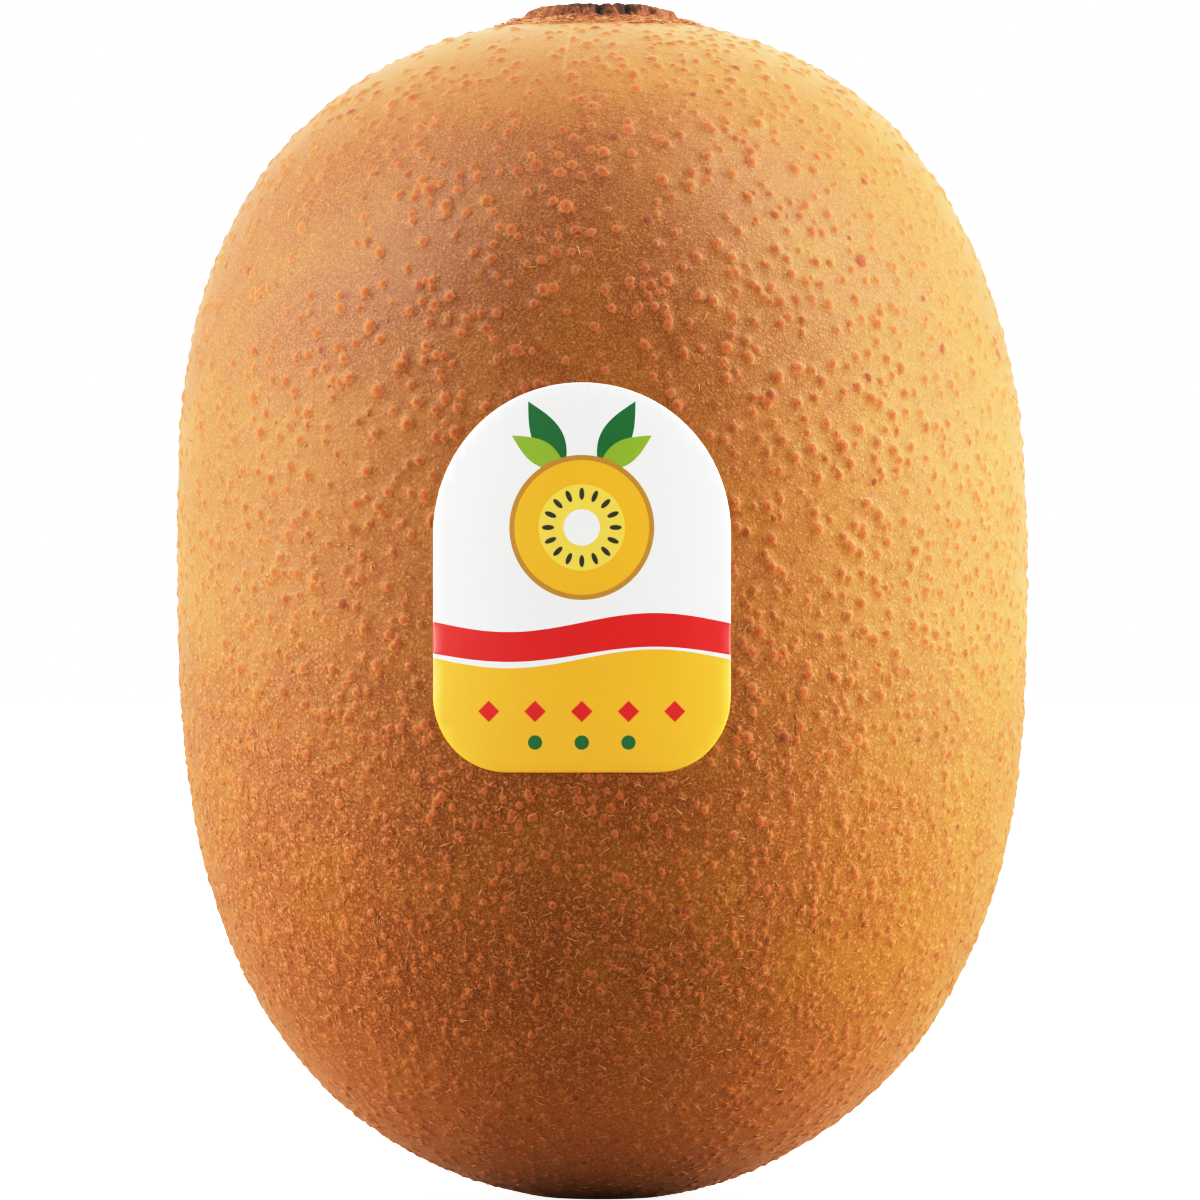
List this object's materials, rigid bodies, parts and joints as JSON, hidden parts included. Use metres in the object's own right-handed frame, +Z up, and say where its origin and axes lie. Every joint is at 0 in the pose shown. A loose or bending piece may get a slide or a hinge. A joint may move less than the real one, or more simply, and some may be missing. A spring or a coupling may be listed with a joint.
{
  "type": "golden kiwi fruit",
  "caption": "Whole golden kiwi fruit standing on its blossom end, smooth golden-brown speckled skin, corky stalk scar on top, arched paper label on its front.",
  "frame": {"origin": "under the middle of the fruit, on the surface that it stands on", "axes": "+Z up through the stalk scar; the label faces -Y; +X to the right when the label is seen from the front"},
  "size_m": [0.0512, 0.0486, 0.072],
  "materials": {
    "kiwi_skin": "golden-brown fruit skin, finely downy, with corky spots",
    "label_paper": "coated paper, semi-gloss, printed in gold, green and red with no words"
  },
  "bodies": {
    "root": {"kiwi_fruit": "kiwi_skin", "label": "label_paper"}
  },
  "joints": []
}
